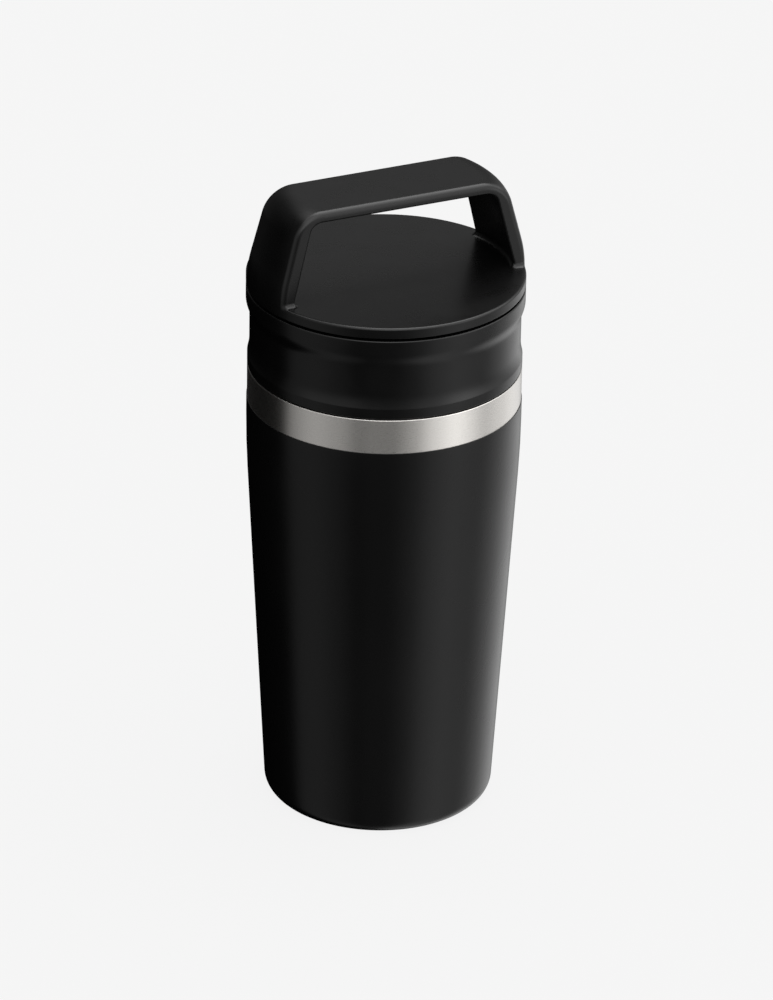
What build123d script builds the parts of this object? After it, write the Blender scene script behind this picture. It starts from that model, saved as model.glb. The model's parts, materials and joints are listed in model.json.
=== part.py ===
from build123d import *
import math
import os

# An insulated travel mug: a vacuum-walled steel body, a drink-through collar that screws on its neck,
# and a cap with a moulded carry handle that screws into the collar.
# Frame: origin at the centre of the foot on the resting plane, +Z up, the handle arches along X.

os.makedirs("parts", exist_ok=True)

# ------------------------------------------------------------------ driving dimensions, mm
overall_height = 178.6
rim_radius = 37.0           # cap rim and flare of the collar
body_radius = 36.7          # coated body above the taper
foot_radius = 30.9          # taper carried down to the resting plane
foot_fillet = 4.3
taper_top = 104.3           # where the taper would meet the straight wall
taper_blend = 290.0
coat = 0.15                 # powder coat
steel = 0.5                 # wall of every pressed steel piece

band_bottom = 117.7         # bare steel band
band_top = 127.2
neck_radius = 32.4
neck_top = 136.7
rim_top = neck_top + steel  # rolled rim of the liner on the neck

collar_bottom = 127.55
collar_top = 150.1
collar_foot_radius = 36.55
waist_radius = 36.0
sleeve_radius = 34.7        # joint between the two halves of the collar
sleeve_bottom = 128.0
sleeve_top = 148.8

cap_bottom = 150.8
cap_top = 153.75
handle_top_width = 21.6
handle_foot_width = 23.8    # at the cap's top face
handle_thickness = 2.85

# screw threads: short ridges, three starts side by side, the same form at the neck and at the cap
thread_starts = 3
ridge_height = 1.0
ridge_root = 2.3            # width where it leaves the wall
ridge_crest = 1.1
ridge_bite = 0.25           # how far a ridge is sunk into its wall
ridge_pitch = 4.0           # spacing of neighbouring ridges
thread_gap = 0.3            # radial clearance between a crest and the facing wall

male_turn = 110.0           # degrees covered by one ridge
female_turn = 100.0
female_start = -60.0        # the collar's ridges lie half a pitch above the ridges they take

neck_thread_z = 130.2       # centre of a neck ridge at its lower end
sleeve_low_bore = neck_radius + ridge_height + thread_gap

cap_thread_z = 144.2        # centre of a plug ridge at its lower end
plug_radius = 31.3
sleeve_high_bore = plug_radius + ridge_height + thread_gap

liner_floor = 7.2
liner_radius = 30.6
liner_foot_radius = 27.4
liner_floor_fillet = 9.0

well_radius = 23.6          # recess under the foot
well_ceiling = 3.2


# ------------------------------------------------------------------ shared shapes
def sheet(points, radii, thickness, side):
    """Half section of sheet metal: the points are (radius, height) along one face of the sheet."""
    with BuildSketch(Plane.XZ) as section:
        with BuildLine():
            FilletPolyline(*points, radius=radii)
            offset(amount=thickness, side=side)
        make_face()
    return section.sketch


def ring(inner, outer, bottom, top, rounding):
    """Half section of a moulded ring with rounded corners."""
    with BuildSketch(Plane.XZ) as section:
        with BuildLine():
            Polyline((inner, bottom), (outer, bottom), (outer, top), (inner, top), close=True)
        make_face()
        fillet(section.vertices(), radius=rounding)
    return section.sketch


def thread_ridge(wall_radius, way, start_angle, turn, start_height):
    """One ridge of a right-handed thread, standing outward (way 1) or inward (way -1) from its wall."""
    lead = thread_starts * ridge_pitch
    with BuildPart() as ridge:
        with BuildLine():
            centre_line = Helix(pitch=lead, height=lead * turn / 360, radius=wall_radius)
        with BuildSketch(Plane(centre_line @ 0, x_dir=(1, 0, 0), z_dir=centre_line % 0)):
            with BuildLine():
                Polyline(
                    (-way * ridge_bite, -ridge_root / 2),
                    (0, -ridge_root / 2),
                    (way * ridge_height, -ridge_crest / 2),
                    (way * ridge_height, ridge_crest / 2),
                    (0, ridge_root / 2),
                    (-way * ridge_bite, ridge_root / 2),
                    close=True,
                )
            make_face()
        sweep(path=centre_line, is_frenet=True)
    height = start_height + lead * start_angle / 360
    return ridge.part.moved(Location((0, 0, height), (0, 0, start_angle)))


# ------------------------------------------------------------------ outer shell
# One drawn wall: lip of the well, foot, tapered body, shoulder and threaded neck.
steel_radius = body_radius - coat
steel_foot_radius = foot_radius - coat
well_fillet = 1.0
shoulder_fillet = 0.15
neck_fillet = 0.8

neck_ridge = thread_ridge(neck_radius, 1, 0, male_turn, neck_thread_z)

with BuildPart() as outer_shell:
    outline = sheet(
        [
            (well_radius, well_ceiling),
            (well_radius, coat),
            (steel_foot_radius, coat),
            (steel_radius, taper_top),
            (steel_radius, band_top),
            (neck_radius, band_top),
            (neck_radius, neck_top),
        ],
        [well_fillet, foot_fillet - coat, taper_blend, shoulder_fillet, neck_fillet],
        steel,
        Side.LEFT,
    )
    revolve(outline, axis=Axis.Z)
    with PolarLocations(0, thread_starts):
        add(neck_ridge)

outer_shell.part.label = "outer_shell"
export_step(outer_shell.part, "parts/outer_shell.step")

# ------------------------------------------------------------------ powder coat
# Lies on the outer shell from the edge of the band down and round the foot.
foot_ring_inner = well_radius + well_fillet

with BuildPart() as powder_coat:
    skin = sheet(
        [
            (foot_ring_inner, coat),
            (steel_foot_radius, coat),
            (steel_radius, taper_top),
            (steel_radius, band_bottom),
        ],
        [foot_fillet - coat, taper_blend],
        coat,
        Side.RIGHT,
    )
    revolve(skin, axis=Axis.Z)

powder_coat.part.label = "powder_coat"
export_step(powder_coat.part, "parts/powder_coat.step")

# ------------------------------------------------------------------ inner liner
rim_fillet = 1.0

with BuildPart() as inner_liner:
    inside = sheet(
        [
            (0, liner_floor),
            (liner_foot_radius, liner_floor),
            (liner_radius, taper_top),
            (liner_radius, rim_top),
            (neck_radius, rim_top),
        ],
        [liner_floor_fillet, taper_blend, rim_fillet],
        steel,
        Side.RIGHT,
    )
    revolve(inside, axis=Axis.Z)

inner_liner.part.label = "inner_liner"
export_step(inner_liner.part, "parts/inner_liner.step")

# ------------------------------------------------------------------ copper foil
# Wrapped on the tapered stretch of the liner, in the vacuum space.
foil = 0.15
foil_bottom = 18.0
foil_top = 97.0
liner_slope = (liner_radius - liner_foot_radius) / (taper_top - liner_floor)
liner_outside = liner_foot_radius + steel / math.cos(math.atan(liner_slope))


def foil_radius(height):
    """Outside radius of the liner's taper at a height."""
    return liner_outside + liner_slope * (height - liner_floor)


with BuildPart() as copper_foil:
    with BuildSketch(Plane.XZ):
        with BuildLine():
            Polyline(
                (foil_radius(foil_bottom), foil_bottom),
                (foil_radius(foil_bottom) + foil, foil_bottom),
                (foil_radius(foil_top) + foil, foil_top),
                (foil_radius(foil_top), foil_top),
                close=True,
            )
        make_face()
    revolve(axis=Axis.Z)

copper_foil.part.label = "copper_foil"
export_step(copper_foil.part, "parts/copper_foil.step")

# ------------------------------------------------------------------ outer bottom
# Closes the vacuum space on the lip of the well; a dimple in the middle holds the evacuation hole.
disc_radius = well_radius + steel
hole_radius = 1.0
dimple_radius = 4.0
dimple_flare = 0.6
dimple_depth = 1.2
dimple_edge = 0.4
dimple_foot = 0.8
dimple_ceiling = well_ceiling + dimple_depth

with BuildPart() as outer_bottom:
    disc = sheet(
        [
            (hole_radius, dimple_ceiling),
            (dimple_radius, dimple_ceiling),
            (dimple_radius + dimple_flare, well_ceiling),
            (disc_radius, well_ceiling),
        ],
        [dimple_edge, dimple_foot],
        steel,
        Side.LEFT,
    )
    revolve(disc, axis=Axis.Z)

outer_bottom.part.label = "outer_bottom"
export_step(outer_bottom.part, "parts/outer_bottom.step")

# ------------------------------------------------------------------ vacuum plug
# Bead of solder glass under the hole, with the stub that ran up through it.
bead_radius = 2.6
bead_drop = 0.8
stub_rise = 0.2

with BuildPart() as vacuum_plug:
    with BuildSketch(Plane.XZ):
        with BuildLine():
            TangentArc(
                (0, dimple_ceiling - bead_drop), (bead_radius, dimple_ceiling), tangent=(1, 0)
            )
            Polyline(
                (bead_radius, dimple_ceiling),
                (hole_radius, dimple_ceiling),
                (hole_radius, dimple_ceiling + steel + stub_rise),
                (0, dimple_ceiling + steel + stub_rise),
                (0, dimple_ceiling - bead_drop),
            )
        make_face()
    revolve(axis=Axis.Z)

vacuum_plug.part.label = "vacuum_plug"
export_step(vacuum_plug.part, "parts/vacuum_plug.step")

# ------------------------------------------------------------------ getter
# A pressed pellet on the disc, held by a strip welded down on both sides of it.
getter_x = 13.5
getter_radius = 4.0
getter_height = 1.5
getter_edge = 0.3
disc_top = well_ceiling + steel

with BuildPart() as getter_pellet:
    with BuildSketch(Plane((getter_x, 0, disc_top))):
        Circle(getter_radius)
    extrude(amount=getter_height)
    fillet(getter_pellet.edges().group_by(Axis.Z)[-1], radius=getter_edge)

getter_pellet.part.label = "getter_pellet"
export_step(getter_pellet.part, "parts/getter_pellet.step")

clip_strip = 0.2
clip_width = 3.0
clip_reach = 7.4
clip_gap = 0.2
clip_foot_bend = 0.4
clip_leg = getter_radius + clip_gap

with BuildPart() as getter_clip:
    with BuildSketch(Plane((getter_x, 0, disc_top), x_dir=(1, 0, 0), z_dir=(0, -1, 0))):
        with BuildLine():
            FilletPolyline(
                (-clip_reach, 0),
                (-clip_leg, 0),
                (-clip_leg, getter_height),
                (clip_leg, getter_height),
                (clip_leg, 0),
                (clip_reach, 0),
                radius=[clip_foot_bend, getter_edge, getter_edge, clip_foot_bend],
            )
            offset(amount=clip_strip, side=Side.LEFT)
        make_face()
    extrude(amount=clip_width / 2, both=True)

getter_clip.part.label = "getter_clip"
export_step(getter_clip.part, "parts/getter_clip.step")

# ------------------------------------------------------------------ base cover
# Dished cover pressed into the well, with a turned-up flange that grips its wall.
cover_bottom = 1.2
cover_dish = 0.8
cover_dish_radius = 15.0
cover_dish_flare = 1.5
cover_flange_top = 2.9
cover_fillet = 0.9

with BuildPart() as base_cover:
    cover = sheet(
        [
            (0, cover_bottom + cover_dish),
            (cover_dish_radius, cover_bottom + cover_dish),
            (cover_dish_radius + cover_dish_flare, cover_bottom),
            (well_radius, cover_bottom),
            (well_radius, cover_flange_top),
        ],
        cover_fillet,
        steel,
        Side.LEFT,
    )
    revolve(cover, axis=Axis.Z)

base_cover.part.label = "base_cover"
export_step(base_cover.part, "parts/base_cover.step")

# ------------------------------------------------------------------ collar shell
# Waisted outer half of the collar, with a crisp edge over its foot; its top is the drinking rim.
collar_foot_top = 130.4
waist_bottom = 134.6
waist_top = 142.0
flare_bottom = 146.4
foot_edge = 0.3
flare_edge = 0.35
drink_edge = 0.9

with BuildPart() as collar_shell:
    with BuildSketch(Plane.XZ) as collar_section:
        with BuildLine():
            waist_to_flare = ((waist_radius + rim_radius) / 2, (waist_top + flare_bottom) / 2)
            Polyline(
                (sleeve_radius, sleeve_top),
                (sleeve_radius, collar_bottom),
                (collar_foot_radius, collar_bottom),
                (collar_foot_radius, collar_foot_top),
            )
            TangentArc((waist_radius, waist_bottom), (collar_foot_radius, collar_foot_top), tangent=(0, -1))
            Line((waist_radius, waist_bottom), (waist_radius, waist_top))
            TangentArc((waist_radius, waist_top), waist_to_flare, tangent=(0, 1))
            TangentArc((rim_radius, flare_bottom), waist_to_flare, tangent=(0, -1))
            Polyline(
                (rim_radius, flare_bottom),
                (rim_radius, collar_top),
                (sleeve_high_bore, collar_top),
                (sleeve_high_bore, sleeve_top),
                (sleeve_radius, sleeve_top),
            )
        make_face()
        corners = collar_section.vertices()
        for height in (collar_bottom, collar_foot_top):
            fillet(corners.sort_by_distance((collar_foot_radius, height))[0], radius=foot_edge)
        fillet(corners.sort_by_distance((rim_radius, collar_top))[0], radius=flare_edge)
        fillet(corners.sort_by_distance((sleeve_high_bore, collar_top))[0], radius=drink_edge)
    revolve(axis=Axis.Z)

collar_shell.part.label = "collar_shell"
export_step(collar_shell.part, "parts/collar_shell.step")

# ------------------------------------------------------------------ collar sleeve
# Inner half of the collar: lower bore for the neck, shelf for the seals, upper bore for the plug.
shelf_bottom = 138.7
shelf_top = 140.3
ledge_top = 139.4           # the splash guard sits on the ledge
shelf_radius = 28.5
ledge_radius = 27.3
lead_in = 0.4

low_ridge = thread_ridge(
    sleeve_low_bore, -1, female_start, female_turn, neck_thread_z + ridge_pitch / 2
)
high_ridge = thread_ridge(
    sleeve_high_bore, -1, female_start, female_turn, cap_thread_z + ridge_pitch / 2
)

with BuildPart() as collar_sleeve:
    with BuildSketch(Plane.XZ) as sleeve_section:
        with BuildLine():
            Polyline(
                (sleeve_low_bore, sleeve_bottom),
                (sleeve_radius, sleeve_bottom),
                (sleeve_radius, sleeve_top),
                (sleeve_high_bore, sleeve_top),
                (sleeve_high_bore, shelf_top),
                (shelf_radius, shelf_top),
                (shelf_radius, ledge_top),
                (ledge_radius, ledge_top),
                (ledge_radius, shelf_bottom),
                (sleeve_low_bore, shelf_bottom),
                close=True,
            )
        make_face()
        mouth = sleeve_section.vertices().sort_by_distance((sleeve_low_bore, sleeve_bottom))[0]
        chamfer(mouth, length=lead_in)
    revolve(axis=Axis.Z)
    with PolarLocations(0, thread_starts):
        add(low_ridge)
        add(high_ridge)

collar_sleeve.part.label = "collar_sleeve"
export_step(collar_sleeve.part, "parts/collar_sleeve.step")

# ------------------------------------------------------------------ collar seal
# Gasket between the shelf of the sleeve and the rolled rim of the liner.
seal_rounding = 0.4
collar_seal_inner = 30.8
collar_seal_outer = 33.5

with BuildPart() as collar_seal:
    revolve(ring(collar_seal_inner, collar_seal_outer, rim_top, shelf_bottom, seal_rounding), axis=Axis.Z)

collar_seal.part.label = "collar_seal"
export_step(collar_seal.part, "parts/collar_seal.step")

# ------------------------------------------------------------------ splash guard
# Slotted plate on the ledge of the sleeve, with a ring of openings and a small finger tab.
guard_radius = 28.4
guard_thickness = 1.2
guard_edge = 0.3
slot_count = 10
slot_radius = 23.0
slot_width = 3.2
slot_turn = 22.0
tab_radius = 4.0
tab_height = 0.9

with BuildPart() as splash_guard:
    with BuildSketch(Plane.XY.offset(ledge_top)):
        Circle(guard_radius)
        with PolarLocations(0, slot_count):
            SlotArc(CenterArc((0, 0), slot_radius, -slot_turn / 2, slot_turn), slot_width, mode=Mode.SUBTRACT)
    extrude(amount=guard_thickness)
    with BuildSketch(Plane.XY.offset(ledge_top + guard_thickness)):
        Circle(tab_radius)
    extrude(amount=tab_height)
    fillet(splash_guard.edges().group_by(Axis.Z)[-1], radius=guard_edge)
    with BuildSketch(Plane.XY.offset(ledge_top)):
        Circle(tab_radius - guard_thickness)
    extrude(amount=tab_height, mode=Mode.SUBTRACT)

splash_guard.part.label = "splash_guard"
export_step(splash_guard.part, "parts/splash_guard.step")

# ------------------------------------------------------------------ cap plug
# Hollow threaded plug; its lower ring presses the cap seal on the shelf.
plug_wall = 1.6
plug_nose_bottom = 141.1
plug_nose_outer = 29.3
plug_nose_inner = 26.2
plug_floor = 143.5
plug_floor_radius = 24.6
plug_shoulder = 142.3
flange_radius = 33.8
flange_bottom = 151.0
flange_top = 152.0

plug_ridge = thread_ridge(plug_radius, 1, 0, male_turn, cap_thread_z)

with BuildPart() as cap_plug:
    with BuildSketch(Plane.XZ):
        with BuildLine():
            Polyline(
                (0, plug_floor),
                (plug_floor_radius, plug_floor),
                (plug_nose_inner, plug_nose_bottom),
                (plug_nose_outer, plug_nose_bottom),
                (plug_nose_outer, plug_shoulder),
                (plug_radius, plug_shoulder),
                (plug_radius, flange_bottom),
                (flange_radius, flange_bottom),
                (flange_radius, flange_top),
                (plug_radius - plug_wall, flange_top),
                (plug_radius - plug_wall, plug_floor + plug_wall),
                (0, plug_floor + plug_wall),
                close=True,
            )
        make_face()
    revolve(axis=Axis.Z)
    with PolarLocations(0, thread_starts):
        add(plug_ridge)

cap_plug.part.label = "cap_plug"
export_step(cap_plug.part, "parts/cap_plug.step")

# ------------------------------------------------------------------ cap seal
cap_seal_inner = 29.4

with BuildPart() as cap_seal:
    revolve(ring(cap_seal_inner, plug_radius, shelf_top, plug_shoulder, seal_rounding), axis=Axis.Z)

cap_seal.part.label = "cap_seal"
export_step(cap_seal.part, "parts/cap_seal.step")

# ------------------------------------------------------------------ cap foam
foam_clearance = 0.2
foam_rounding = 0.5

with BuildPart() as cap_foam:
    with BuildSketch(Plane.XY.offset(plug_floor + plug_wall)):
        Circle(plug_radius - plug_wall - foam_clearance)
    extrude(amount=flange_top - foam_clearance - plug_floor - plug_wall)
    fillet(cap_foam.edges().filter_by(GeomType.CIRCLE), radius=foam_rounding)

cap_foam.part.label = "cap_foam"
export_step(cap_foam.part, "parts/cap_foam.step")

# ------------------------------------------------------------------ cap shell
# Rim, flat top and arched handle in one moulding. The handle is a drafted slice of a round dome, so its legs
# follow the rim. The opening under it is a cone: its wall leans like the legs, straight down to the cap's top.
rim_edge = 0.6
rim_wall = 3.0
leg_bend_height = 157.4     # the legs stand flush on the rim up to here, then lean in
leg_bend = 30.0
arch_top_radius = 31.26     # where the lean would meet the flat top
arch_corner = 8.7
handle_edge = 1.7
leg_thickness = 3.7         # across the lean, at the bar
opening_corner = 3.2
opening_draft = 0.3         # how much the opening narrows down to the cap, each side
opening_edge = 0.6
hair = 0.01

dome_points = [
    (rim_radius, flange_top),
    (rim_radius, leg_bend_height),
    (arch_top_radius, overall_height),
    (0, overall_height),
]
dome_radii = [leg_bend, arch_corner]
lean = math.atan((rim_radius - arch_top_radius) / (overall_height - leg_bend_height))
opening_top = overall_height - handle_thickness
opening_top_radius = arch_top_radius + handle_thickness * math.tan(lean) - leg_thickness / math.cos(lean)
opening_foot_radius = opening_top_radius + (opening_top - cap_top) * math.tan(lean) - opening_draft
handle_draft = (handle_foot_width - handle_top_width) / 2 / (overall_height - cap_top)
half_top = handle_top_width / 2
half_bottom = half_top + handle_draft * (overall_height - flange_top)


def stands_on_side(edge):
    """Whether an edge runs along a side of the handle, above the flat underside of the legs."""
    middle = edge @ 0.5
    return middle.Z > flange_top + hair and abs(middle.Y) > half_top - handle_edge


with BuildPart() as cap_shell:
    with BuildSketch(Plane.XZ):
        with BuildLine():
            FilletPolyline(*dome_points, radius=dome_radii)
            Polyline((0, overall_height), (0, flange_top), (rim_radius, flange_top))
        make_face()
    revolve(axis=Axis.Z)
    with BuildSketch(Plane.YZ):
        with BuildLine():
            Polyline(
                (-half_bottom, flange_top),
                (half_bottom, flange_top),
                (half_top, overall_height),
                (-half_top, overall_height),
                close=True,
            )
        make_face()
    extrude(amount=rim_radius, both=True, mode=Mode.INTERSECT)
    sides = cap_shell.faces().sort_by(Axis.Y)
    fillet((sides[0].edges() + sides[-1].edges()).filter_by(stands_on_side), radius=handle_edge)
    with BuildSketch(Plane.XZ):
        with BuildLine():
            FilletPolyline(
                (opening_foot_radius, cap_top),
                (opening_top_radius, opening_top),
                (0, opening_top),
                radius=opening_corner,
            )
            Polyline(
                (0, opening_top),
                (0, flange_top),
                (opening_foot_radius, flange_top),
                (opening_foot_radius, cap_top),
            )
        make_face()
    revolve(axis=Axis.Z, mode=Mode.SUBTRACT)
    fillet(cap_shell.edges(Select.LAST).filter_by(stands_on_side), radius=opening_edge)
    with BuildSketch(Plane.XZ) as rim_section:
        with BuildLine():
            Polyline(
                (0, flange_top),
                (rim_radius - rim_wall, flange_top),
                (rim_radius - rim_wall, cap_bottom),
                (rim_radius, cap_bottom),
                (rim_radius, cap_top),
                (0, cap_top),
                close=True,
            )
        make_face()
        fillet(rim_section.vertices().sort_by_distance((rim_radius, cap_top))[0], radius=rim_edge)
    revolve(axis=Axis.Z)

cap_shell.part.label = "cap_shell"
export_step(cap_shell.part, "parts/cap_shell.step")
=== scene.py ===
import json
import math

import bmesh
import bpy
import numpy as np
from mathutils import Matrix, Vector, noise


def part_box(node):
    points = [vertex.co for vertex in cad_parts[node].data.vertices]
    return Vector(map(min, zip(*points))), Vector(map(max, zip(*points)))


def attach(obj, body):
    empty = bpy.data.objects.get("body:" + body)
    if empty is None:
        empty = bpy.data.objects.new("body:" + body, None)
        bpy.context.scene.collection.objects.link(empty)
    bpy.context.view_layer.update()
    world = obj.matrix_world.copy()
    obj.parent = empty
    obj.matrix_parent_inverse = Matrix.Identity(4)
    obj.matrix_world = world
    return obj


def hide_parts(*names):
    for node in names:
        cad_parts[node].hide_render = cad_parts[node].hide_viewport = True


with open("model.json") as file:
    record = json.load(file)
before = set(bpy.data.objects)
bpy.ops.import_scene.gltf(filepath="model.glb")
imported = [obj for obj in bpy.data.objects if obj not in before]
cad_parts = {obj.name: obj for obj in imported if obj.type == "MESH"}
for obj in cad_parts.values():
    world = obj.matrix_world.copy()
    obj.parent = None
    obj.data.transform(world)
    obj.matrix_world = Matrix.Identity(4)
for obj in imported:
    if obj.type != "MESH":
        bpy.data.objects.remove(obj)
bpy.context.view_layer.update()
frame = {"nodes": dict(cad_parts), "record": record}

# The looks of the insulated travel mug: clean turned meshes for the round pieces, one moulded mesh for the
# cap with its handle, and a procedural material for every piece. The script's own units are millimetres
# until a mesh is made; Blender's are metres.

MM = 0.001
nodes = frame["nodes"]


# ------------------------------------------------------------------ sizes that come from the frame
def radius_of(node):
    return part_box(node)[1].x / MM


def bottom_of(node):
    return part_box(node)[0].z / MM


def top_of(node):
    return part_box(node)[1].z / MM


rim_radius = radius_of("cap_shell")
overall_height = top_of("cap_shell")
cap_bottom = bottom_of("cap_shell")
flange_top = top_of("cap_plug")
body_radius = radius_of("powder_coat")
band_bottom = top_of("powder_coat")
sleeve_radius = radius_of("collar_sleeve")
sleeve_top = top_of("collar_sleeve")
collar_bottom = bottom_of("collar_shell")
collar_top = top_of("collar_shell")

# ------------------------------------------------------------------ sizes of the design, mm
cap_top = 153.75
rim_wall = 3.0
rim_edge = 0.6
handle_top_width = 21.6
handle_foot_width = 23.8
handle_thickness = 2.85
leg_thickness = 3.7
leg_bend_height = 157.4
leg_bend = 30.0
arch_top_radius = 31.26
arch_corner = 8.7
handle_edge = 1.7
opening_corner = 3.2
opening_draft = 0.3
opening_edge = 0.6
foot_blend = 1.3            # moulded rounding where the legs stand on the cap
moulded_edge = 0.3          # broken edges under the cap

coat = 0.15
foot_radius = 30.9
foot_fillet = 4.3
taper_top = 104.3
taper_blend = 290.0
coat_inner = 24.6

collar_foot_radius = 36.55
collar_foot_top = 130.4
waist_radius = 36.0
waist_bottom = 134.6
waist_top = 142.0
flare_bottom = 146.4
collar_bore = 32.6
collar_edge = 0.3           # broken edges at the collar's foot
collar_rim_edge = 0.35      # outer edge of its drinking rim
collar_bore_edge = 0.9      # inner edge of its drinking rim


# ------------------------------------------------------------------ mesh helpers
def new_object(name, mesh):
    piece = bpy.data.objects.new(name, mesh)
    bpy.context.scene.collection.objects.link(piece)
    return piece


def rounded(points, radii, reach=4.0, turn_step=8.0):
    """A closed half section through the points, each corner rounded by its radius, with points along it."""
    corners = []
    for i, (point, radius) in enumerate(zip(points, radii)):
        here = Vector(point)
        if radius == 0:
            corners.append([here])
            continue
        back = (Vector(points[i - 1]) - here).normalized()
        ahead = (Vector(points[(i + 1) % len(points)]) - here).normalized()
        half = back.angle(ahead) / 2
        centre = here + (back + ahead).normalized() * (radius / math.sin(half))
        first = here + back * (radius / math.tan(half)) - centre
        last = here + ahead * (radius / math.tan(half)) - centre
        start = math.atan2(first.y, first.x)
        turn = math.remainder(math.atan2(last.y, last.x) - start, 2 * math.pi)
        steps = max(2, math.ceil(abs(turn) / math.radians(turn_step)))
        angles = [start + turn * k / steps for k in range(steps + 1)]
        corners.append([centre + radius * Vector((math.cos(a), math.sin(a))) for a in angles])
    outline = []
    for corner, following in zip(corners, corners[1:] + corners[:1]):
        outline += corner
        steps = math.ceil((following[0] - corner[-1]).length / reach)
        outline += [corner[-1].lerp(following[0], k / steps) for k in range(1, steps)]
    return outline


def sway(start, end, steps=12):
    """Points of an S-shaped run between two upright walls, without its ends."""
    shares = [k / steps for k in range(1, steps)]
    across = [start[0] + (end[0] - start[0]) * (1 - math.cos(math.pi * s)) / 2 for s in shares]
    return [(r, start[1] + (end[1] - start[1]) * s) for r, s in zip(across, shares)]


def lathe(name, outline, segments=240, sharp=40.0, on_axis=1e-6):
    """Closed quad mesh turned round the vertical axis from a closed half section in mm."""
    bm = bmesh.new()
    rings = []
    for radius, height in outline:
        turns = range(segments) if radius > on_axis else range(1)
        angles = [2 * math.pi * k / segments for k in turns]
        rings.append([
            bm.verts.new((radius * MM * math.cos(a), radius * MM * math.sin(a), height * MM))
            for a in angles
        ])
    for ring, other in zip(rings, rings[1:] + rings[:1]):
        for k in range(segments):
            n = (k + 1) % segments
            corners = [ring[k % len(ring)], ring[n % len(ring)], other[n % len(other)], other[k % len(other)]]
            corners = list(dict.fromkeys(corners))
            if len(corners) > 2:
                bm.faces.new(corners)
    bmesh.ops.recalc_face_normals(bm, faces=bm.faces)
    mesh = bpy.data.meshes.new(name)
    bm.to_mesh(mesh)
    bm.free()
    mesh.shade_smooth()
    mesh.set_sharp_from_angle(angle=math.radians(sharp))
    return new_object(name, mesh)


# ------------------------------------------------------------------ cap with its handle
# The moulding is described as a solid by its distance function. A voxel skin of the CAD piece is then
# drawn onto it, which adds the rounding at the feet of the legs and the broken edges underneath.
lean = math.atan2(rim_radius - arch_top_radius, overall_height - leg_bend_height)
handle_draft = (handle_foot_width - handle_top_width) / 2 / (overall_height - cap_top)
draft_angle = math.atan(handle_draft)
opening_top = overall_height - handle_thickness
opening_top_radius = arch_top_radius + handle_thickness * math.tan(lean) - leg_thickness / math.cos(lean)
opening_slope = math.tan(lean) - opening_draft / (opening_top - cap_top)
opening_foot_radius = opening_top_radius + (opening_top - cap_bottom) * opening_slope


def convex_section(points, radii):
    """Lines and corner arcs of a half section that runs from its foot up to the axis."""
    lines = []
    for (r0, z0), (r1, z1) in zip(points, points[1:]):
        normal = np.array([z1 - z0, r0 - r1]) / math.hypot(z1 - z0, r0 - r1)
        lines.append((normal, normal @ np.array([r0, z0])))
    arcs = []
    for (n0, d0), (n1, d1), radius in zip(lines, lines[1:], radii):
        centre = np.linalg.solve(np.array([n0, n1]), np.array([d0 - radius, d1 - radius]))
        arcs.append((centre, radius, math.atan2(n0[1], n0[0]), math.atan2(n1[1], n1[0])))
    return lines, arcs


dome = convex_section(
    [(rim_radius, cap_bottom), (rim_radius, leg_bend_height), (arch_top_radius, overall_height),
     (0, overall_height)],
    [leg_bend, arch_corner],
)
opening = convex_section(
    [(opening_foot_radius, cap_bottom), (opening_top_radius, opening_top), (0, opening_top)],
    [opening_corner],
)


def outside(section, r, z):
    """Distance outside a convex section, and the direction that its nearest surface faces."""
    lines, arcs = section
    distances = np.stack([normal[0] * r + normal[1] * z - offset for normal, offset in lines])
    nearest = distances.argmax(axis=0)
    normals = np.array([normal for normal, _ in lines])
    distance, across, up = distances.max(axis=0), normals[nearest, 0], normals[nearest, 1]
    for centre, radius, low, high in arcs:
        dr, dz = r - centre[0], z - centre[1]
        angle = np.arctan2(dz, dr)
        inside = (angle > low) & (angle < high)
        distance = np.where(inside, np.hypot(dr, dz) - radius, distance)
        across = np.where(inside, np.cos(angle), across)
        up = np.where(inside, np.sin(angle), up)
    return distance, across, up


def rolled(a, b, cosine, radius, aligned=0.995, least=0.005):
    """Distance to what two solids share, its edge rounded by a rolling ball.

    The cosine is between their faces; faces closer than aligned are one smooth face and get no rounding.
    """
    p, q = a + radius, b + radius
    on_ball = (p > q * cosine) & (q > p * cosine) & (cosine < aligned)
    span = np.sqrt(np.maximum(p * p + q * q - 2 * p * q * cosine, 0) / np.maximum(1 - cosine ** 2, least))
    return np.where(on_ball, span - radius, np.maximum(a, b))


def handle_distance(p):
    x, y, z = p.T
    r, y = np.hypot(x, y), np.abs(y)
    half_width = handle_top_width / 2 + handle_draft * (overall_height - z)
    side = (y - half_width) * math.cos(draft_angle)
    toward_side = y / np.maximum(r, 1e-6) * math.cos(draft_angle)
    over, across, up = outside(dome, r, z)
    outer = rolled(over, side, across * toward_side + up * math.sin(draft_angle), handle_edge)
    under, across, up = outside(opening, r, z)
    inner = rolled(-under, side, -across * toward_side - up * math.sin(draft_angle), opening_edge)
    return np.maximum(outer, inner)


def rim_distance(p):
    x, y, z = p.T
    r = np.hypot(x, y)
    upper = rolled(r - rim_radius, z - cap_top, 0.0, rim_edge)
    pocket = rolled(r - (rim_radius - rim_wall), z - flange_top, 0.0, moulded_edge)
    return np.maximum(upper, -pocket)


def slope(function, p, step=0.01):
    columns = []
    for axis in range(3):
        move = np.zeros(3)
        move[axis] = step
        columns.append((function(p + move) - function(p - move)) / (2 * step))
    return np.stack(columns, axis=1)


def unit(v):
    return v / np.maximum(np.linalg.norm(v, axis=1, keepdims=True), 1e-9)


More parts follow.
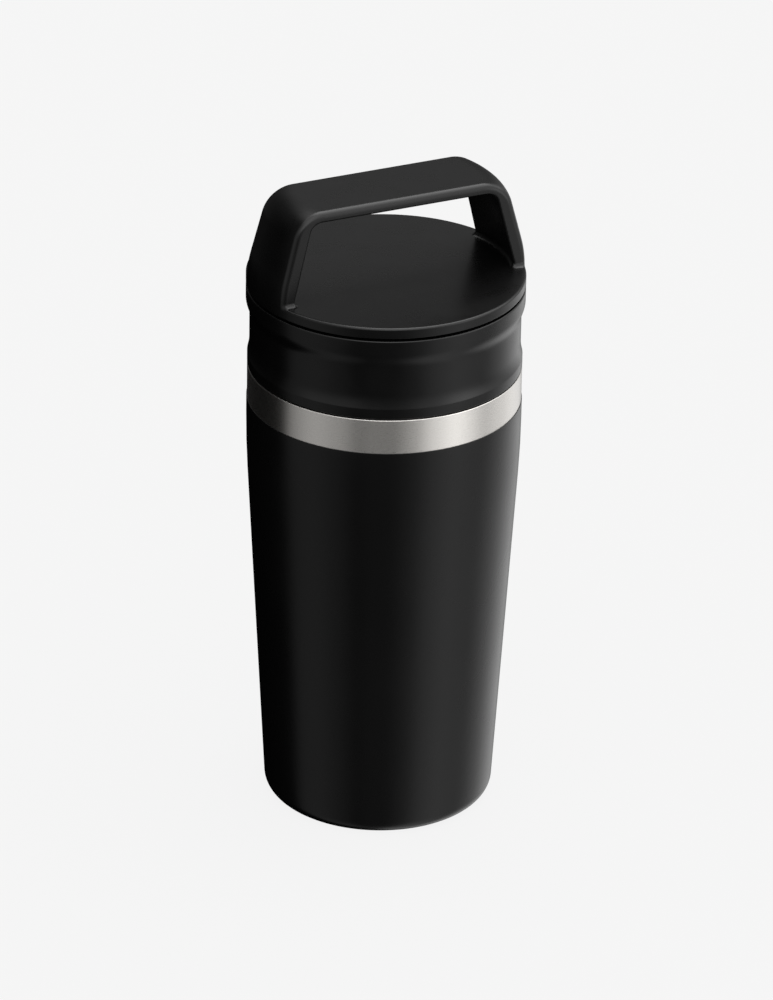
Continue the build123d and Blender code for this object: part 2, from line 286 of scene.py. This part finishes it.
def cap_distance(p):
    handle, rim = handle_distance(p), rim_distance(p)
    in_wall = np.maximum(handle, rim_radius - rim_wall - np.hypot(*p.T[:2]))
    handle = np.where(p[:, 2] > flange_top, handle, in_wall)
    joined = np.minimum(handle, rim)
    near = (handle < foot_blend) & (rim < foot_blend) & (p[:, 2] > flange_top + moulded_edge)
    if near.any():
        close = p[near]
        cosine = (unit(slope(handle_distance, close)) * unit(slope(rim_distance, close))).sum(axis=1)
        joined[near] = -rolled(-handle[near], -rim[near], cosine, foot_blend)
    return rolled(joined, cap_bottom - p[:, 2], 0.0, moulded_edge)


def neighbour_mean(mesh, p):
    edges = np.empty(len(mesh.edges) * 2, int)
    mesh.edges.foreach_get("vertices", edges)
    a, b = edges.reshape(-1, 2).T
    total, count = np.zeros_like(p), np.zeros(len(p))
    np.add.at(total, a, p[b])
    np.add.at(total, b, p[a])
    np.add.at(count, a, 1)
    np.add.at(count, b, 1)
    return total / count[:, None]


def moulded_cap(name, voxel=0.36, rounds=5, relax=0.5, stride=0.3, steepness=0.25):
    """Skin of the CAD cap drawn onto the moulding; each round evens the points, then steps onto it twice."""
    work = new_object(name + "_work", nodes["cap_shell"].data.copy())
    skin = work.modifiers.new("skin", "REMESH")
    skin.mode = "VOXEL"
    skin.voxel_size = voxel * MM
    bpy.context.view_layer.update()
    mesh = bpy.data.meshes.new_from_object(work.evaluated_get(bpy.context.evaluated_depsgraph_get()))
    bpy.data.objects.remove(work)
    mesh.name = name
    p = np.empty(len(mesh.vertices) * 3)
    mesh.vertices.foreach_get("co", p)
    p = p.reshape(-1, 3) / MM
    for turn in range(rounds):
        s = slope(cap_distance, p)
        if turn:
            drift = neighbour_mean(mesh, p) - p
            normal = unit(s)
            p = p + relax * (drift - normal * (drift * normal).sum(axis=1, keepdims=True))
        for _ in range(2):
            reach = np.clip(cap_distance(p), -stride, stride)
            p = p - s * (reach / np.maximum((s * s).sum(axis=1), steepness))[:, None]
            s = slope(cap_distance, p)
    mesh.vertices.foreach_set("co", (p * MM).ravel())
    mesh.shade_smooth()
    mesh.update()
    mesh.materials.clear()
    mesh.normals_split_custom_set_from_vertices(unit(s))
    return new_object(name, mesh)


# ------------------------------------------------------------------ turned pieces
def powder_coat_piece(name):
    lip = coat / 3              # the coat's bare edges are rounded by a third of its thickness
    outline = rounded(
        [(coat_inner, 0), (foot_radius, 0), (body_radius, taper_top), (body_radius, band_bottom),
         (body_radius - coat, band_bottom), (body_radius - coat, taper_top), (foot_radius - coat, coat),
         (coat_inner, coat)],
        [lip, foot_fillet, taper_blend, lip, 0, taper_blend, foot_fillet - coat, 0],
    )
    return lathe(name, outline, segments=300)


def collar_piece(name, swell_steps=10):
    swell = [k / swell_steps for k in range(1, swell_steps)]
    lower = [(waist_radius + (collar_foot_radius - waist_radius) * (1 - s) ** 2,
              collar_foot_top + (waist_bottom - collar_foot_top) * s) for s in swell]
    upper = sway((waist_radius, waist_top), (rim_radius, flare_bottom))
    points = [(sleeve_radius, collar_bottom), (collar_foot_radius, collar_bottom),
              (collar_foot_radius, collar_foot_top), *lower, (waist_radius, waist_bottom),
              (waist_radius, waist_top), *upper, (rim_radius, flare_bottom), (rim_radius, collar_top),
              (collar_bore, collar_top), (collar_bore, sleeve_top), (sleeve_radius, sleeve_top)]
    radii = [0.0] * len(points)
    radii[0] = radii[1] = radii[2] = collar_edge
    radii[points.index((rim_radius, collar_top))] = collar_rim_edge
    radii[points.index((collar_bore, collar_top))] = collar_bore_edge
    return lathe(name, rounded(points, radii, reach=1.5), segments=300)


def ring_seal_piece(name, node, rib=0.12, rib_width=0.3, rib_places=(0.3, 0.7), edge=0.2, root=0.1,
                    crest=0.12):
    """Square ring of silicone with two soft ribs on each face that seals."""
    low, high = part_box(node)
    outer, bottom, top = high.x / MM, low.z / MM, high.z / MM
    inner = min(math.hypot(v.co.x, v.co.y) for v in nodes[node].data.vertices) / MM
    width = outer - inner
    ribs = [inner + width * share for share in rib_places]
    under = [(inner, bottom + rib)]
    for centre in ribs:
        under += [(centre - rib_width, bottom + rib), (centre, bottom), (centre + rib_width, bottom + rib)]
    under.append((outer, bottom + rib))
    over = [(r, top + bottom - z) for r, z in reversed(under)]
    points = under + over
    radii = [edge, root, crest, root, root, crest, root, edge] * 2
    return lathe(name, rounded(points, radii, reach=0.4, turn_step=15.0), segments=200)


def foam_piece(name, node, crown=0.5, edge=1.4, lump=0.22, lump_size=5.0, pit=0.10, pit_size=1.1):
    """Cut foam disc: crowned faces, rounded rim, and a skin of lumps and open cells pressed into it."""
    low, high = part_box(node)
    radius, bottom, top = high.x / MM, low.z / MM, high.z / MM
    faces = [0.2, 0.4, 0.6, 0.8]
    under = [(radius * s, bottom + crown * s ** 4) for s in faces]
    over = [(radius * s, top - crown * s ** 4) for s in reversed(faces)]
    points = [(0, bottom), *under, (radius, bottom + crown), (radius, top - crown), *over, (0, top)]
    flat = [0] * (len(faces) + 1)
    radii = flat + [edge, edge] + flat
    piece = lathe(name, rounded(points, radii, reach=0.7, turn_step=12.0), segments=320, sharp=180.0)
    vertices = piece.data.vertices
    normals = [vertex.normal.copy() for vertex in vertices]
    for vertex, normal in zip(vertices, normals):
        place = vertex.co / MM
        press = lump * (noise.noise(place / lump_size) + 1) / 2
        press += pit * max(0.0, noise.noise(place / pit_size)) ** 0.5
        vertex.co -= normal * press * MM
    return piece


# ------------------------------------------------------------------ materials
noise_range = (0.3, 0.7)    # most values of a noise texture fall in this range


class Look:
    """A Principled material, with short calls for the nodes that drive it."""

    def __init__(self, name, **values):
        self.material = bpy.data.materials.new(name)
        self.material.use_nodes = True
        self.tree = self.material.node_tree
        self.shader = self.tree.nodes["Principled BSDF"]
        self.place = self.node("ShaderNodeTexCoord").outputs["Object"]
        for key, value in values.items():
            self.set(key.replace("_", " "), value)

    def node(self, kind, inputs=(), **settings):
        made = self.tree.nodes.new(kind)
        for key, value in settings.items():
            setattr(made, key, value)
        for key, value in dict(inputs).items():
            self.fill(made.inputs[key], value)
        return made

    def fill(self, socket, value):
        if isinstance(value, bpy.types.NodeSocket):
            self.tree.links.new(value, socket)
        elif isinstance(value, tuple) and len(value) == 3 and socket.type == "RGBA":
            socket.default_value = (*value, 1)
        else:
            socket.default_value = value

    def set(self, name, value):
        wanted = {part.name.lower(): part for part in self.shader.inputs}
        self.fill(wanted[name.lower()], value)

    def math(self, operation, a, b=0.0):
        return self.node("ShaderNodeMath", {0: a, 1: b}, operation=operation).outputs[0]

    def noise(self, size, detail=2.0, roughness=0.5, vector=None, distortion=0.0):
        """Noise whose features are about size millimetres wide."""
        inputs = {"Vector": vector or self.place, "Scale": 1 / (size * MM), "Detail": detail,
                  "Roughness": roughness, "Distortion": distortion}
        return self.node("ShaderNodeTexNoise", inputs).outputs["Fac"]

    def cells(self, size, feature="F1", vector=None):
        inputs = {"Vector": vector or self.place, "Scale": 1 / (size * MM)}
        return self.node("ShaderNodeTexVoronoi", inputs, feature=feature).outputs["Distance"]

    def spread(self, value, low, high, start=0.0, end=1.0):
        inputs = {"Value": value, "From Min": start, "From Max": end, "To Min": low, "To Max": high}
        return self.node("ShaderNodeMapRange", inputs).outputs["Result"]

    def blend(self, amount, first, second):
        made = self.node("ShaderNodeMix", data_type="RGBA")
        self.fill(made.inputs["Factor"], amount)
        self.fill(made.inputs[6], first)
        self.fill(made.inputs[7], second)
        return made.outputs[2]

    def turned(self, along, across):
        """Cylinder coordinates: stretched by along round the axis, and by across up and outward."""
        part = self.node("ShaderNodeSeparateXYZ", {0: self.place})
        angle = self.math("ARCTAN2", part.outputs[1], part.outputs[0])
        flat = self.node("ShaderNodeCombineXYZ", {0: part.outputs[0], 1: part.outputs[1]})
        out = self.node("ShaderNodeVectorMath", {0: flat.outputs[0]}, operation="LENGTH").outputs["Value"]
        return self.node("ShaderNodeCombineXYZ", {
            0: self.math("MULTIPLY", angle, along * MM),
            1: self.math("MULTIPLY", part.outputs[2], across),
            2: self.math("MULTIPLY", out, across),
        }).outputs[0]

    def relief(self, *layers):
        """Bump from (height, depth in mm) layers, one on another."""
        normal = None
        for height, depth in layers:
            inputs = {"Height": height, "Distance": depth * MM, "Strength": 1.0}
            if normal:
                inputs["Normal"] = normal
            normal = self.node("ShaderNodeBump", inputs).outputs[0]
        self.set("Normal", normal)


def powder_coat_look():
    look = Look("powder_coat", Specular_IOR_Level=0.275)
    grain = look.noise(0.35, detail=3)
    swell = look.noise(2.2, detail=1)
    patch = look.noise(24, detail=2)
    look.set("Base Color", look.blend(grain, (0.0010, 0.0010, 0.0010), (0.0020, 0.0020, 0.0020)))
    look.set("Roughness", look.spread(patch, 0.25, 0.29, *noise_range))
    look.relief((swell, 0.012), (grain, 0.006))
    return look.material


def moulded_look(name, tone, low, high, grain_size=0.16, depth=0.004):
    look = Look(name, Specular_IOR_Level=0.275)
    grain = look.noise(grain_size, detail=2)
    flow = look.noise(9, detail=3, distortion=0.6)
    look.set("Base Color", look.blend(flow, tuple(0.8 * t for t in tone), tuple(1.2 * t for t in tone)))
    look.set("Roughness", look.spread(flow, low, high, *noise_range))
    look.relief((flow, 0.0015), (grain, depth))
    return look.material


def brushed_steel_look():
    look = Look("brushed_steel", Metallic=1.0)
    fine = look.noise(0.05, detail=2, vector=look.turned(1.2, 1.0))
    broad = look.noise(0.5, detail=2, vector=look.turned(2.0, 1.0))
    shade = look.noise(60, detail=1)
    look.set("Base Color", look.blend(shade, (0.60, 0.582, 0.555), (0.635, 0.615, 0.588)))
    look.set("Roughness", look.spread(fine, 0.26, 0.31, *noise_range))
    look.set("Anisotropic", 0.75)
    look.set("Anisotropic Rotation", 0.25)
    look.set("Tangent", look.node("ShaderNodeTangent", direction_type="RADIAL", axis="Z").outputs[0])
    look.relief((broad, 0.0004), (fine, 0.0004))
    return look.material


def drawn_steel_look(name, tone, low, high):
    look = Look(name, Metallic=1.0)
    lines = look.noise(0.12, detail=3, vector=look.turned(1.5, 1.0))
    cloud = look.noise(7, detail=3)
    look.set("Base Color", look.blend(cloud, tuple(0.94 * t for t in tone), tone))
    look.set("Roughness", look.spread(lines, low, high, *noise_range))
    look.relief((cloud, 0.006), (lines, 0.0012))
    return look.material


def silicone_look():
    look = Look("silicone", Specular_IOR_Level=0.35)
    bloom = look.noise(3, detail=4, roughness=0.6)
    grain = look.noise(0.09, detail=2)
    look.set("Base Color", look.blend(bloom, (0.060, 0.061, 0.064), (0.085, 0.086, 0.089)))
    look.set("Roughness", look.spread(bloom, 0.48, 0.62, *noise_range))
    look.set("Subsurface Weight", 0.15)
    look.set("Subsurface Scale", 0.4 * MM)
    look.relief((grain, 0.003))
    return look.material


def foam_look():
    look = Look("foam", Specular_IOR_Level=0.2)
    cell = look.cells(0.7)
    large = look.cells(2.1)
    # The foam is painted darker towards the middle of each cell, where the relief below sinks it: painted
    # shade in the cell hollows.
    look.set("Base Color", look.blend(cell, (0.48, 0.47, 0.44), (0.78, 0.77, 0.73)))
    look.set("Roughness", look.spread(large, 0.8, 0.95))
    look.relief((large, 0.06), (cell, 0.08))
    return look.material


def copper_look():
    look = Look("copper", Metallic=1.0)
    crease = look.cells(9, feature="DISTANCE_TO_EDGE")
    tarnish = look.noise(14, detail=4, roughness=0.6)
    look.set("Base Color", look.blend(tarnish, (0.86, 0.44, 0.29), (0.93, 0.58, 0.42)))
    look.set("Roughness", look.spread(tarnish, 0.16, 0.30, *noise_range))
    look.relief((look.spread(crease, 0, 1, 0, 0.12), 0.03), (look.noise(1.5, detail=3), 0.01))
    return look.material


def getter_look():
    look = Look("getter", Metallic=0.4)
    grit = look.noise(0.12, detail=4, roughness=0.7)
    look.set("Base Color", look.blend(grit, (0.10, 0.10, 0.105), (0.24, 0.235, 0.23)))
    look.set("Roughness", look.spread(grit, 0.6, 0.85, *noise_range))
    look.relief((grit, 0.02))
    return look.material


def solder_glass_look():
    look = Look("solder_glass", Specular_IOR_Level=0.7, Coat_Weight=0.5)
    swirl = look.noise(1.1, detail=3, distortion=1.2)
    look.set("Base Color", look.blend(swirl, (0.035, 0.028, 0.020), (0.10, 0.075, 0.045)))
    look.set("Roughness", look.spread(swirl, 0.06, 0.16, *noise_range))
    look.relief((swirl, 0.01))
    return look.material


looks = {
    "powder_coat": powder_coat_look(),
    "brushed_steel": brushed_steel_look(),
    "liner_steel": drawn_steel_look("liner_steel", (0.62, 0.60, 0.58), 0.20, 0.32),
    "cap_plastic": moulded_look("cap_plastic", (0.0016, 0.0016, 0.0016), 0.26, 0.30),
    "collar_plastic": moulded_look("collar_plastic", (0.0014, 0.0014, 0.0014), 0.23, 0.28),
    "inner_plastic": moulded_look("inner_plastic", (0.006, 0.006, 0.0062), 0.30, 0.38, 0.3, 0.003),
    "silicone": silicone_look(),
    "foam": foam_look(),
    "copper": copper_look(),
    "getter": getter_look(),
    "solder_glass": solder_glass_look(),
}


def stand_in(piece, node, slot, body):
    """A Blender piece that shows instead of its CAD node, on the same body."""
    piece.data.materials.append(looks[slot])
    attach(piece, body)
    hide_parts(node)


# ------------------------------------------------------------------ pieces
body_of = {}
for body_name, members in frame["record"]["behaviour"]["bodies"].items():
    for member in members:
        body_of[member] = body_name

for node_name, node_object in nodes.items():
    slot_name = node_object.data.materials[0].name.split(".")[0]
    for slot in node_object.material_slots:
        slot.link = "OBJECT"
        slot.material = looks[slot_name]

for maker, piece_name, node_name, slot_name in (
    (moulded_cap, "cap_with_handle", "cap_shell", "cap_plastic"),
    (powder_coat_piece, "body_coat", "powder_coat", "powder_coat"),
    (collar_piece, "drinking_collar", "collar_shell", "collar_plastic"),
):
    stand_in(maker(piece_name), node_name, slot_name, body_of[node_name])
stand_in(foam_piece("cap_insulation", "cap_foam"), "cap_foam", "foam", body_of["cap_foam"])
for seal in ("collar_seal", "cap_seal"):
    stand_in(ring_seal_piece(seal + "_ring", seal), seal, "silicone", body_of[seal])

# ------------------------------------------------------------------ studio
camera_azimuth = -25.53
camera_elevation = 26.48
camera_roll = 1.004
camera_distance = 1.6482
camera_lens = 221.2
aim_height = 0.090573
aim_right = 0.001075
aim_up = -0.004073

# The light round the mug: brightness by azimuth from the camera, in degrees (right is positive), in four
# layers from the floor up, and the heights in degrees over which each layer gives way to the next.
# The levels began as a least-squares fit to the tones of the photograph and were then changed.
light_strength = 7.0
light_heights = [(-20, -6), (10, 24), (42, 56)]
light_levels = [
    [(-180, 0.0), (-93, 0.0), (-82, 0.32), (-60, 0.38), (-38, 0.24), (-22, 0.05), (-10, 0.13), (8, 0.1),
     (26, 0.29), (46, 0.87), (62, 1.05), (80, 0.74), (92, 0.5), (112, 0.82), (135, 1.15), (155, 1.0),
     (170, 0.3), (180, 0.05)],
    [(-180, 0.1), (-93, 0.0), (-80, 0.3), (-60, 0.85), (-30, 0.75), (-10, 0.3), (10, 0.25), (40, 1.2),
     (65, 3.2), (95, 1.3), (130, 0.8), (150, 0.5), (170, 0.1), (180, 0.1)],
    [(-180, 0.3), (-140, 0.05), (-93, 0.05), (-78, 0.4), (-38, 1.2), (-12, 2.6), (8, 3.4), (40, 2.4),
     (75, 2.2), (110, 3.2), (140, 1.2), (165, 0.3), (180, 0.3)],
    [(-180, 6.2), (-140, 2.9), (-70, 2.0), (-15, 3.1), (20, 3.3), (60, 3.2), (100, 4.6), (140, 5.6),
     (180, 6.2)],
]


def studio_camera():
    camera = bpy.data.objects.new("camera", bpy.data.cameras.new("camera"))
    bpy.context.scene.collection.objects.link(camera)
    camera.data.lens = camera_lens
    camera.data.sensor_width = 36.0
    a, e = math.radians(camera_azimuth), math.radians(camera_elevation)
    back = Vector((math.sin(a) * math.cos(e), -math.cos(a) * math.cos(e), math.sin(e)))
    turn = back.to_track_quat("Z", "Y") @ Matrix.Rotation(math.radians(camera_roll), 3, "Z").to_quaternion()
    right, up = turn @ Vector((1, 0, 0)), turn @ Vector((0, 1, 0))
    camera.rotation_mode = "QUATERNION"
    camera.rotation_quaternion = turn
    camera.location = Vector((0, 0, aim_height)) + back * camera_distance + right * aim_right + up * aim_up
    bpy.context.scene.camera = camera


def studio_floor(half_size=8.0, tone=0.02, glow=0.87):
    """A pale floor that only the camera sees, and that can be looked through from below."""
    mesh = bpy.data.meshes.new("floor")
    bm = bmesh.new()
    bmesh.ops.create_grid(bm, x_segments=8, y_segments=8, size=half_size)
    bm.to_mesh(mesh)
    bm.free()
    floor = new_object("floor", mesh)
    material = bpy.data.materials.new("floor")
    material.use_nodes = True
    tree = material.node_tree
    tree.nodes.clear()
    add = tree.nodes.new
    matt, light, both = add("ShaderNodeBsdfDiffuse"), add("ShaderNodeEmission"), add("ShaderNodeAddShader")
    clear, side = add("ShaderNodeBsdfTransparent"), add("ShaderNodeNewGeometry")
    mix = add("ShaderNodeMixShader")
    out = add("ShaderNodeOutputMaterial")
    matt.inputs[0].default_value = (tone, tone, tone, 1)
    light.inputs[1].default_value = glow
    for start, end in (
        (matt.outputs[0], both.inputs[0]),
        (light.outputs[0], both.inputs[1]),
        (side.outputs["Backfacing"], mix.inputs[0]),
        (both.outputs[0], mix.inputs[1]),
        (clear.outputs[0], mix.inputs[2]),
        (mix.outputs[0], out.inputs[0]),
    ):
        tree.links.new(start, end)
    mesh.materials.append(material)
    floor.visible_diffuse = floor.visible_glossy = floor.visible_transmission = False
    floor.visible_shadow = False


def studio_light(backdrop=0.93):
    """Light from all round the mug, with a pale backdrop that only the camera sees."""
    world = bpy.data.worlds.new("studio")
    bpy.context.scene.world = world
    world.use_nodes = True
    tree = world.node_tree
    tree.nodes.clear()

    def add(kind, inputs=(), **settings):
        made = tree.nodes.new(kind)
        for key, value in settings.items():
            setattr(made, key, value)
        for key, value in dict(inputs).items():
            if isinstance(value, bpy.types.NodeSocket):
                tree.links.new(value, made.inputs[key])
            else:
                made.inputs[key].default_value = value
        return made

    def ramp(value, stops):
        made = add("ShaderNodeValToRGB", {0: value})
        made.color_ramp.interpolation = "EASE"
        while len(made.color_ramp.elements) < len(stops):
            made.color_ramp.elements.new(1.0)
        for element, (where, level) in zip(made.color_ramp.elements, stops):
            element.position = where
            element.color = (level, level, level, 1)
        return made.outputs[0]

    place = add("ShaderNodeTexCoord").outputs["Generated"]
    facing = add("ShaderNodeVectorRotate", {"Vector": place, "Angle": -math.radians(camera_azimuth)},
                 rotation_type="Z_AXIS").outputs[0]
    part = add("ShaderNodeSeparateXYZ", {0: facing})
    front = add("ShaderNodeMath", {0: part.outputs[1], 1: -1.0}, operation="MULTIPLY").outputs[0]
    azimuth = add("ShaderNodeMath", {0: part.outputs[0], 1: front}, operation="ARCTAN2").outputs[0]
    turn = add("ShaderNodeMapRange", {0: azimuth, 1: -math.pi, 2: math.pi, 3: 0.0, 4: 1.0}).outputs[0]
    rise = add("ShaderNodeMapRange", {0: part.outputs[2], 1: -1.0, 2: 1.0, 3: 0.0, 4: 1.0}).outputs[0]

    def by_azimuth(levels):
        return ramp(turn, [((degrees + 180) / 360, level / light_strength) for degrees, level in levels])

    def by_height(levels):
        return ramp(rise, [((math.sin(math.radians(degrees)) + 1) / 2, level) for degrees, level in levels])

    light = by_azimuth(light_levels[0])
    for (start, full), levels in zip(light_heights, light_levels[1:]):
        mixed = add("ShaderNodeMix", {0: by_height([(start, 0.0), (full, 1.0)])}, data_type="RGBA")
        tree.links.new(light, mixed.inputs[6])
        tree.links.new(by_azimuth(levels), mixed.inputs[7])
        light = mixed.outputs[2]
    studio = add("ShaderNodeBackground", {0: light, 1: light_strength})
    pale = add("ShaderNodeBackground", {0: (backdrop, backdrop, backdrop, 1), 1: 1.0})
    path = add("ShaderNodeLightPath")
    seen = path.outputs["Is Camera Ray"]
    mix = add("ShaderNodeMixShader", {0: seen, 1: studio.outputs[0], 2: pale.outputs[0]})
    out = add("ShaderNodeOutputWorld")
    tree.links.new(mix.outputs[0], out.inputs[0])


studio_camera()
studio_floor()
studio_light()
bpy.context.scene.view_settings.view_transform = "Standard"
